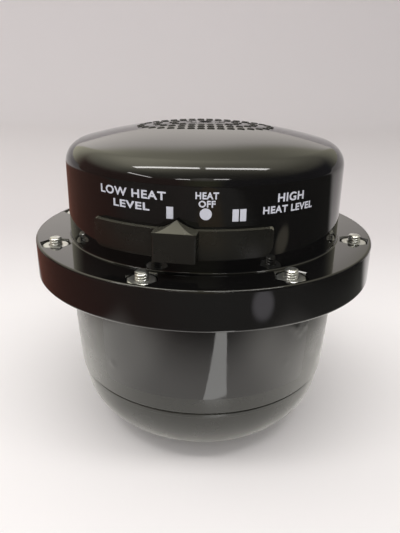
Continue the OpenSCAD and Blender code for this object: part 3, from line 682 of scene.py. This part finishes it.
    def card(self):
        """A small white card on the table, for the glint on the label film. It is clear from below."""
        corners = ((0.03, -0.19), (0.054, -0.185), (0.001, -0.102), (0.028, -0.102))
        card = fresh(bpy.ops.mesh.primitive_plane_add, "front_card", size=1)
        for v, place in zip(card.data.vertices, corners):
            v.co = (*place, 0.5 * MM)
        f = Finish("card_glow", (0.9, 0.9, 0.9), 0.5)
        f.shader.inputs["Emission Color"].default_value = (1, 0.99, 0.96, 1)
        f.shader.inputs["Emission Strength"].default_value = 3.0
        under = f.add("ShaderNodeNewGeometry").outputs["Backfacing"]
        f.link(f.maths("SUBTRACT", 1.0, under), f.shader.inputs["Alpha"])
        card.data.materials.append(f.material)
        card.visible_camera = card.visible_diffuse = card.visible_shadow = False

    def world(self, context):
        """A pale fill, and a room with walls and a ceiling in reflections."""
        world = context.scene.world or bpy.data.worlds.new("room")
        context.scene.world = world
        world.use_nodes = True
        n = Nodes(world.node_tree)
        n.tree.nodes.clear()

        def tinted(value, tint):
            node = n.add("ShaderNodeVectorMath")
            node.operation = "SCALE"
            node.inputs[0].default_value = tint
            n.link(value, node.inputs["Scale"])
            return node.outputs[0]

        brown, olive, blue_black = (0.19, 0.1, 0.08), (0.3, 0.3, 0.16), (0.05, 0.05, 0.06)
        wall_tint, ceiling_tint = (1.07, 1.0, 0.94), (1.05, 1.0, 0.78)
        even, backdrop = (0.55, 0.545, 0.54), (0.62, 0.585, 0.585)
        axes = n.add("ShaderNodeSeparateXYZ")
        n.link(n.add("ShaderNodeTexCoord").outputs["Generated"], axes.inputs[0])
        x, y, z = axes.outputs
        rise = n.maths("ADD", z, n.product(x, n.maths("ADD", n.product(x, 2.28), 0.09)))
        across = n.product(n.ranged(x, -0.35, 0.0, 1.06, 1.25), n.ranged(x, 0.0, 0.35, 1.0, 0.58))
        wall = n.product(n.ranged(rise, 0.0, 0.46, 0.4, 1.05), across)
        ceiling = n.product(
            n.ranged(z, 0.55, 0.92, 0.6, 1.5), n.ranged(x, -0.6, 0.3, 1.6, 0.8),
            n.ranged(y, -0.65, 0.05, 0.3, 1.0))
        pale = n.mixed(n.ranged(rise, 0.5, 0.61), tinted(wall, wall_tint), tinted(ceiling, ceiling_tint))
        dark = n.mixed(n.ranged(x, -0.4, -0.05), brown, n.mixed(n.ranged(x, 0.08, 0.3), olive, blue_black))
        room = n.mixed(n.maths("MAXIMUM", n.ranged(y, 0.4, 0.8), n.ranged(z, 0.3, 0.6)), dark, pale)
        path = n.add("ShaderNodeLightPath")
        fill = n.mixed(path.outputs["Is Glossy Ray"], even, room)
        sky = n.add("ShaderNodeBackground")
        n.link(n.mixed(path.outputs["Is Camera Ray"], fill, backdrop), sky.inputs["Color"])
        n.link(sky.outputs[0], n.add("ShaderNodeOutputWorld").inputs["Surface"])


class SHOWER_OT_cover(bpy.types.Operator):
    """Switch cover with its flange, nut pockets, slot, cable hole and vents"""

    bl_idname = "shower.make_cover"
    bl_label = "Switch cover"

    def execute(self, context):
        s = context.scene.shower_sizes
        cover = self.shell(s)
        openings = self.openings(s)
        vents, rims = self.vents(s)
        combine(cover, rims, "UNION")
        combine(cover, joined("cuts", [*openings, vents]), "DIFFERENCE")
        bore = disc("bore", 3 * MM, s.flange_under - MM, s.pocket_floor + MM, 24)
        combine(cover, copies(bore, screw_places(s)), "DIFFERENCE")
        finished(cover, "switch_cover", "shell", FINISHES["polished_black"], "black_gloss", "upper_housing")
        return {"FINISHED"}

    def shell(self, s):
        """The turned cover, open at a small round hole in the crown's middle."""
        r, wall, e, f = s.cover_radius, s.cover_wall, s.edge_round, s.foot_fillet
        low, under, top = s.flange_low, s.flange_under, s.flange_top
        out, band, tiny = s.flange_radius, s.flange_radius - s.band_wall, 0.2 * MM
        hole, crown, inner = 3 * MM, s.crown_radius, s.crown_radius - wall
        c, dome = r - s.shoulder, s.crown_top - crown
        sz = dome + math.sqrt((crown - s.shoulder) ** 2 - c * c)
        up = math.degrees(math.atan2(sz - dome, c))
        end, inner_end = (math.degrees(math.acos(hole / radius)) for radius in (crown, inner))
        return turned("cover", (
            [(r - wall, under), (band - tiny, under), (band, under - tiny)]
            + [(band, low + 2 * tiny), (band + 2 * tiny, low)]
            + arc(out - e, low + e, e, -90, 0, 6) + [(out, low + e + tiny), (out, top - e - tiny)]
            + arc(out - e, top - e, e, 0, 90, 6) + [(out - e - tiny, top)]
            + run((out - e - tiny, top), (r + f + tiny, top), 4) + [(r + f + tiny, top)]
            + arc(r + f, top + f, f, 270, 180, 5) + [(r, top + f + tiny)]
            + run((r, top + f + tiny), (r, sz), 12)
            + arc(c, sz, s.shoulder, 0, up, 28) + arc(0, dome, crown, up, end, 26)[1:]
            + arc(0, dome, inner, inner_end, up, 16) + arc(c, sz, s.shoulder - wall, up, 0, 8)[1:]
            + run((r - wall, sz), (r - wall, under), 8)
        ), s.turn_steps)

    def openings(self, s):
        """Tools for the nut pockets with their lips, the selector's slot and the cable hole."""
        outside, inside, top = s.cover_radius, s.cover_radius - s.cover_wall, s.flange_top
        lip, clear = 0.35 * MM, 2 * MM
        corner, wide = s.pocket_corner, s.pocket_corner + 1.3 * lip
        slot_half, slot_low, slot_high = 16.4, 0.108, 0.1125
        cable_radius, cable_height = 7 * MM, 0.1125
        pocket = turned("pocket", [
            (0, s.pocket_floor), (corner, s.pocket_floor), (corner, top - lip),
            (wide, top + 0.1 * lip), (wide, top + clear), (0, top + clear),
        ], 6, closed=False)
        pockets = copies(pocket, screw_places(s))
        slot = sector("slot", 0, slot_half, inside - clear, outside + clear, slot_low, slot_high)
        cable = disc("cable", cable_radius, -4 * MM, 6 * MM, 48)
        cable.data.transform(rearwards(inside, cable_height))
        return pockets, slot, cable

    def vents(self, s):
        """Tools for the vent slots in oval rows, and the low rims that stand round them."""
        rows = 4
        slot, rim = (2.5 * MM, 1.2 * MM, 20 * MM), (3.3 * MM, 2.0 * MM, MM)
        proud, below_top = 0.28 * MM, 0.04 * MM
        even = (s.vent_width - s.vent_depth) / (s.vent_width + s.vent_depth) / 2
        slot_places, rim_places = [], []
        for k in range(1, rows + 1):
            a, b, n = s.vent_width / 2 * k / rows, s.vent_depth / 2 * k / rows, 8 * k + 2
            for i in range(n):
                u = (i + 0.5) * math.tau / n
                t = u - even * math.sin(2 * u)
                x, y = a * math.sin(t), -b * math.cos(t)
                drop = s.crown_radius - math.sqrt(s.crown_radius ** 2 - x * x - y * y)
                z = s.crown_top - drop + min(proud, drop - below_top) - 0.5 * MM
                lean = Vector((0, 0, 1)).rotation_difference(Vector((x, y, s.crown_radius)))
                slot_places.append(Matrix.Translation((x, y, s.crown_top - 5 * MM)))
                rim_places.append(Matrix.Translation((x, y, z)) @ lean.to_matrix().to_4x4())
        pad = block("pad", rim)
        soften(pad, 0.22 * MM, 2)
        return copies(block("vent", slot), slot_places), copies(pad, rim_places)


class SHOWER_OT_chamber(bpy.types.Operator):
    """Water chamber with its flange, neck, inlet boss and outlet holes"""

    bl_idname = "shower.make_chamber"
    bl_label = "Water chamber"

    def execute(self, context):
        s = context.scene.shower_sizes
        low, top = s.body_low, s.body_top
        middle, big = chamber_arc(s)
        floor, wall, e, lip = low + MM, 3.2 * MM, 0.4 * MM, 0.5 * MM
        flange, flange_top = 76.9 * MM, top + 3 * MM
        start = -math.degrees(math.asin((top - low - lip) / big))
        side = middle + math.sqrt(big * big - (top - low - lip) ** 2)
        inside = -math.degrees(math.asin((top - floor - wall) / (big - wall)))
        neck = s.bowl_radius - 4.6 * MM
        neck_in, foot, groove = neck - 3.4 * MM, s.bowl_height - 9.6 * MM, neck - 1.8 * MM
        seal_low, seal_high = (foot + 1.8 * MM + half for half in (-1.1 * MM, 1.1 * MM))
        chamber = turned("chamber", (
            [(0, floor), (neck_in, floor), (neck_in, foot + e), (neck_in + e, foot)]
            + [(neck - e, foot), (neck, foot + e), (neck, seal_low), (groove, seal_low)]
            + [(groove, seal_high), (neck, seal_high), (neck, low)]
            + arc(side - lip, low + lip, lip, -90, -10, 4) + arc(middle, top, big, start, 0, 36)
            + [(flange - e, top), (flange, top + e), (flange, flange_top), (s.body_radius - wall, flange_top)]
            + arc(middle, top, big - wall, 0, inside, 12) + [(0, floor + wall)]
        ), s.turn_steps, closed=False)

        rear = rearwards(57 * MM, 55 * MM)
        boss_profile = ((0, 0), (17, 0), (17, 10.2), (16.7, 10.8), (16.2, 11), (0, 11))
        boss = turned("boss", [(r * MM, z * MM) for r, z in boss_profile], 72, closed=False)
        boss.data.transform(rear)
        combine(chamber, boss, "UNION")
        lugs = lug_sectors("lug", 0, 7, neck - MM, neck + 1.6 * MM, foot + 3.6 * MM, foot + 6.6 * MM)
        combine(chamber, lugs, "UNION")

        inlet = disc("inlet", 12.1 * MM, -2 * MM, 30 * MM, 64)
        inlet.data.transform(rear)
        screw = disc("screw", 3 * MM, top - MM, top + 5 * MM, 24)
        drop = disc("drop", 3 * MM, floor - MM, floor + 5 * MM, 20)
        drops = [around(360 / n * i, radius) for n, radius in ((12, 0.04), (6, 0.018)) for i in range(n)]
        holes = joined("holes", [inlet, copies(screw, screw_places(s)), copies(drop, drops)])
        combine(chamber, holes, "DIFFERENCE")
        finished(chamber, "water_chamber", "shell", FINISHES["satin_black_body"], "black_gloss", "lower_body")
        return {"FINISHED"}


class SHOWER_OT_bowl(bpy.types.Operator):
    """Spray bowl with its bead, plate seat and bayonet channels"""

    bl_idname = "shower.make_bowl"
    bl_label = "Spray bowl"

    def execute(self, context):
        s = context.scene.shower_sizes
        foot, top, e = s.foot_radius, s.bowl_height, 0.25 * MM
        wall, rim, chamfer = 3 * MM, 0.8 * MM, 0.15 * MM
        opening, seat, seat_z = 28 * MM, 31 * MM, 1.6 * MM
        big = s.bowl_radius - foot
        bead, bore = s.bowl_radius + 0.3 * MM, s.bowl_radius - 4.3 * MM
        neck, mouth = top - 2.2 * MM, top - 10 * MM
        end = -math.degrees(math.asin((big - neck) / big))
        inside = -math.degrees(math.asin((big - mouth) / (big - wall)))
        bowl = turned("bowl", (
            [(opening, e), (opening + e, 0), (foot - 0.3 * MM, 0)]
            + arc(foot, big, big, -90, end, 44)
            + [(bead - chamfer, neck), (bead, neck + chamfer)]
            + arc(bead - rim, top - rim, rim, 0, 90, 6) + [(bore + e, top), (bore, top - e), (bore, mouth)]
            + arc(foot, big, big - wall, inside, -90, 16)
            + [(seat, wall), (seat, seat_z), (opening, seat_z)]
        ), s.turn_steps)
        deep = (bore - MM, bore + 1.9 * MM)
        combine(bowl, lug_sectors("way", -15, 23, *deep, top - 6.4 * MM, top - 2.6 * MM), "DIFFERENCE")
        combine(bowl, lug_sectors("door", -30, 8, *deep, top - 6 * MM, top + 5 * MM), "DIFFERENCE")
        finished(bowl, "spray_bowl", "sprayer", FINISHES["satin_black_body"], "black_gloss", "spray_cap")
        return {"FINISHED"}


class SHOWER_OT_selector(bpy.types.Operator):
    """Selector lever with soft moulded edges and a painted highlight on its faces that point up"""

    bl_idname = "shower.make_selector"
    bl_label = "Selector"

    def execute(self, context):
        lever = merged_copy("selector_lever", "lever")
        soften(lever, 0.6 * MM, 5, 32)
        self.paint_top_highlights(lever.data)
        finished(lever, "heat_selector", "selector", FINISHES["olive_black_lever"], "black_satin",
                 "selector_lever", smooth=24)
        return {"FINISHED"}

    def paint_top_highlights(self, mesh):
        """Paints a highlight, as paleness in the attribute edge, on the faces that point up: full on narrow
        edge faces, faint on others.
        """
        edge = mesh.attributes.new("edge", "FLOAT", "FACE")
        upward, narrow_width, full, faint = 0.25, 0.25 * MM, 1.0, 0.3
        for face in mesh.polygons:
            sides = [[mesh.vertices[i].co for i in key] for key in face.edge_keys]
            narrow = face.area < narrow_width * max((a - b).length for a, b in sides)
            # Faces that point up get a painted highlight
            if face.normal.z > upward:
                edge.data[face.index].value = full if narrow else faint


class SHOWER_OT_fasteners(bpy.types.Operator):
    """Eight flange screws with real threads, and their nuts"""

    bl_idname = "shower.make_fasteners"
    bl_label = "Flange fasteners"

    def execute(self, context):
        s = context.scene.shower_sizes
        places = screw_places(s)
        r = 2.75 * MM
        turned_on = [p @ Matrix.Rotation(1.3 * i, 4, "Z") for i, p in enumerate(places)]
        screws = copies(self.screw(r), turned_on)
        finished(screws, "flange_screw_set", "shell", FINISHES["zinc_plate"], "zinc_steel", "flange_screws",
                 smooth=40)
        nuts = copies(self.nut(r, s.pocket_floor), places)
        finished(nuts, "flange_nut_set", "shell", FINISHES["zinc_plate"], "zinc_steel", "flange_nuts")
        return {"FINISHED"}

    def screw(self, r):
        """A screw with a cross recess in its head, and a thread cut by moving its points inwards."""
        pitch, deep, rings = 1.06 * MM, 0.5 * MM, 34
        head, seat, tip, head_radius = 79.1 * MM, 81.5 * MM, 99.3 * MM, 4.6 * MM
        start, end = 94 * MM, tip - 0.55 * MM
        screw = turned("screw", (
            [(0, head), (3.2 * MM, head), (4 * MM, head + 0.25 * MM), (head_radius, head + 1.1 * MM)]
            + [(head_radius, seat - 0.1 * MM), (head_radius - 0.1 * MM, seat), (r, seat)]
            + [(r, start + (end - start) * i / rings) for i in range(rings + 1)]
            + [(r - 0.25 * MM, tip - 0.2 * MM), (r - 0.7 * MM, tip), (0, tip)]
        ), 28, closed=False)
        for v in screw.data.vertices:
            flat = math.hypot(v.co.x, v.co.y)
            if v.co.z > start and flat > r - 0.3 * MM:
                phase = (v.co.z / pitch - math.atan2(v.co.y, v.co.x) / math.tau) % 1
                groove = max(0.0, 1 - abs(2 * phase - 1) * 1.35)
                fade = min(1.0, (v.co.z - start) / pitch)
                k = (flat - deep * groove * fade) / flat
                v.co.x, v.co.y = v.co.x * k, v.co.y * k
        long, narrow, high = 4.8 * MM, 1.2 * MM, 2.5 * MM
        for size in ((long, narrow, high), (narrow, long, high)):
            combine(screw, block("bar", size, head + 0.25 * MM), "DIFFERENCE")
        return screw

    def nut(self, r, floor):
        """A hexagon nut with its upper corners turned off and a countersunk hole."""
        h, corner = 3.7 * MM, 5.55 * MM / math.cos(math.radians(30))
        top, wide = floor + h, corner + MM
        nut = disc("nut", corner, floor, top, 6)
        cone = turned("cone", [
            (0, floor - MM), (wide, floor - MM), (wide, top - 1.5 * MM),
            (5.2 * MM, top + 0.05 * MM), (0, top + 0.05 * MM),
        ], 48, closed=False)
        combine(nut, cone, "INTERSECT")
        hole = turned("hole", [
            (0, floor - MM), (r + 0.03 * MM, floor - MM), (r + 0.03 * MM, top - 0.4 * MM),
            (r + 0.6 * MM, top + 0.2 * MM), (0, top + 0.2 * MM),
        ], 28, closed=False)
        return combine(nut, hole, "DIFFERENCE")


class SHOWER_OT_print(bpy.types.Operator):
    """White marks and words of the selector, printed on the cover's side"""

    bl_idname = "shower.make_print"
    bl_label = "Print"

    # Angle of the middle from the front in degrees, then width and heights in millimetres
    BARS = ((-12.2, 2.6, 118.2, 122.8), (9.8, 2.4, 117.6, 122.3), (12.4, 2.4, 117.6, 122.3))
    # Text, angle of the middle in degrees, then height of the middle, letter height and width
    WORDS = (
        ("LOW HEAT", -26.6, 126.5, 3.3, 29.3), ("LEVEL", -26.6, 121.9, 3.0, 16.2),
        ("HEAT", 0.2, 127.3, 2.7, 8.6), ("OFF", 0.2, 124.2, 2.6, 6.2),
        ("HIGH", 30.5, 125.4, 3.4, 12.5), ("HEAT LEVEL", 30.2, 121.0, 2.9, 24),
    )

    def execute(self, context):
        r = context.scene.shower_sizes.cover_radius
        lift, thickness, step = 0.04 * MM, 0.05 * MM, 0.8
        marks = [self.bar(r, *bar) for bar in self.BARS]
        dot = fresh(
            bpy.ops.mesh.primitive_circle_add, "dot", vertices=48, radius=2.25 * MM, fill_type="TRIFAN")
        dot.data.transform(Matrix.Translation((-0.2 * MM, 120.5 * MM, 0)))
        marks.append(dot)
        marks += [self.word(r, *word) for word in self.WORDS]
        ink = joined("ink", marks)
        edit(ink)
        bpy.ops.mesh.remove_doubles(threshold=MERGE)
        divide((1, 0, 0), [math.radians(i * step) * r for i in range(-60, 61)])
        done()
        for v in ink.data.vertices:
            a = v.co.x / r
            v.co = ((r + lift) * math.sin(a), -(r + lift) * math.cos(a), v.co.y)
        thicken(ink, thickness)
        finished(ink, "selector_print", "shell", FINISHES["white_print"], None)
        return {"FINISHED"}

    def bar(self, r, middle, width, low, high):
        bar = fresh(bpy.ops.mesh.primitive_grid_add, "bar", x_subdivisions=4, y_subdivisions=2, size=1)
        bar.data.transform(Matrix.Translation((math.radians(middle) * r, (low + high) / 2 * MM, 0))
                           @ Matrix.Diagonal((width * MM, (high - low) * MM, 1, 1)))
        return bar

    def word(self, r, text, middle, z, height, width):
        """A word in bold letters, flat, stretched to its width."""
        bold, capital = 0.12, 0.7
        word = fresh(bpy.ops.object.text_add, "word")
        word.data.body, word.data.size = text, (height - 2 * bold) * MM / capital
        word.data.align_x, word.data.align_y = "CENTER", "CENTER"
        word.data.space_character, word.data.offset = 1.1, bold * MM
        bpy.ops.object.convert(target="MESH")
        word = named("word")
        across = [v.co.x for v in word.data.vertices]
        low, high = min(across), max(across)
        word.data.transform(Matrix.Translation((math.radians(middle) * r, z * MM, 0))
                            @ Matrix.Scale(width * MM / (high - low), 4, (1, 0, 0))
                            @ Matrix.Translation((-(low + high) / 2, 0, 0)))
        return word


class SHOWER_OT_film(bpy.types.Operator):
    """Blank clear film on the front of the water chamber"""

    bl_idname = "shower.make_film"
    bl_label = "Label film"

    # Angle from the front in degrees, then height, width and rise in millimetres
    BUBBLES = (
        (38.5, 66.5, 1.6, 0.3), (40.2, 63.6, 1.2, 0.22), (43.2, 66.0, 1.3, 0.25), (36.0, 68.5, 1.4, 0.2),
        (41.6, 69.0, 1.2, 0.22), (-38.6, 47.6, 1.3, 0.3), (34.5, 51.0, 1.0, 0.15),
    )

    def execute(self, context):
        s = context.scene.shower_sizes
        middle, big = chamber_arc(s)
        round_r, gap, thickness = 0.0625, 0.06 * MM, 0.05 * MM
        left, right, low, high = s.film_left * round_r, s.film_right * round_r, s.film_low, 0.0785
        columns, rows = 72, 30
        film = fresh(bpy.ops.mesh.primitive_plane_add, "film", size=1)
        film.data.transform(Matrix.Translation(((left + right) / 2, (low + high) / 2, 0))
                            @ Matrix.Diagonal((right - left, high - low, 1, 1)))
        edit(film)
        bpy.ops.mesh.bevel(offset=2.5 * MM, segments=6, affect="VERTICES")
        divide((1, 0, 0), [left + (right - left) * i / columns for i in range(1, columns)])
        divide((0, 1, 0), [low + (high - low) * i / rows for i in range(1, rows)])
        done()
        for v in film.data.vertices:
            a, z = v.co.x / round_r, v.co.y
            lift = gap
            for degrees, height, width, rise in self.BUBBLES:
                d2 = ((a - math.radians(degrees)) * round_r) ** 2 + (z - height * MM) ** 2
                lift += rise * MM * math.exp(-d2 / (width * MM) ** 2)
            r = middle + math.sqrt(big * big - (z - s.body_top) ** 2) + lift
            v.co = (r * math.sin(a), -r * math.cos(a), z)
        thicken(film, thickness)
        finished(film, "label_film", "shell", FINISHES["clear_film"], None, smooth=40)
        return {"FINISHED"}


class SHOWER_OT_fittings(bpy.types.Operator):
    """Pieces seen from behind and below, with soft edges"""

    bl_idname = "shower.make_fittings"
    bl_label = "Fittings"

    def execute(self, context):
        for node, name, body, finish, slot, width in (
            ("cable_grommet", "cable_sleeve", "shell", "moulded_rubber", "seal_rubber", 0.3),
            ("inlet_socket", "inlet_fitting", "shell", "turned_brass", "brass", 0.25),
            ("spray_plate", "shower_plate", "sprayer", "satin_black_body", "black_satin", 0.12),
        ):
            piece = merged_copy(node, name)
            soften(piece, width * MM)
            finished(piece, name, body, FINISHES[finish], slot, node)
        return {"FINISHED"}


class SHOWER_OT_spring(bpy.types.Operator):
    """Return spring of the pressure switch, with a mesh of its own; on the shower it shortens as the plunger
    lifts
    """

    bl_idname = "shower.make_spring"
    bl_label = "Return spring"

    def execute(self, context):
        spring = merged_copy("return_spring", "spring")
        finished(spring, "switch_spring", "shell", FINISHES["zinc_plate"], "zinc_steel", "return_spring",
                 smooth=60)
        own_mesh(spring)
        return {"FINISHED"}


class SHOWER_OT_inner(bpy.types.Operator):
    """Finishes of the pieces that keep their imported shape"""

    bl_idname = "shower.finish_inner"
    bl_label = "Inner pieces"

    def execute(self, context):
        slots = {p["node"]: p["material_slot"] for p in frame["record"]["subparts"]}
        for name, obj in NODES.items():
            if obj.hide_render:
                continue
            obj.data.materials.clear()
            obj.data.materials.append(FINISHES[SLOT_FINISH[slots[name]]])
        return {"FINISHED"}


OPERATORS = (
    SHOWER_OT_stage, SHOWER_OT_cover, SHOWER_OT_chamber, SHOWER_OT_bowl, SHOWER_OT_selector,
    SHOWER_OT_fasteners, SHOWER_OT_print, SHOWER_OT_film, SHOWER_OT_fittings, SHOWER_OT_spring,
    SHOWER_OT_inner,
)


class SHOWER_PT_panel(bpy.types.Panel):
    """Lists the steps and their sizes"""

    bl_idname = "SHOWER_PT_panel"
    bl_label = "Electric Shower Head"
    bl_space_type = "VIEW_3D"
    bl_region_type = "UI"
    bl_category = "Shower"

    def draw(self, context):
        for operator in OPERATORS:
            self.layout.operator(operator.bl_idname)
        for group in (context.scene.shower_sizes, context.scene.shower_colours):
            box = self.layout.box()
            for key in group.__annotations__:
                box.prop(group, key)


CLASSES = (ShowerSizes, ShowerColours, *OPERATORS, SHOWER_PT_panel)


def register():
    for c in CLASSES:
        bpy.utils.register_class(c)
    bpy.types.Scene.shower_sizes = PointerProperty(type=ShowerSizes)
    bpy.types.Scene.shower_colours = PointerProperty(type=ShowerColours)


def unregister():
    del bpy.types.Scene.shower_colours
    del bpy.types.Scene.shower_sizes
    for c in reversed(CLASSES):
        bpy.utils.unregister_class(c)


def main():
    register()
    for operator in OPERATORS:
        group, name = operator.bl_idname.split(".")
        getattr(getattr(bpy.ops, group), name)()


if __name__ == "__main__":
    main()
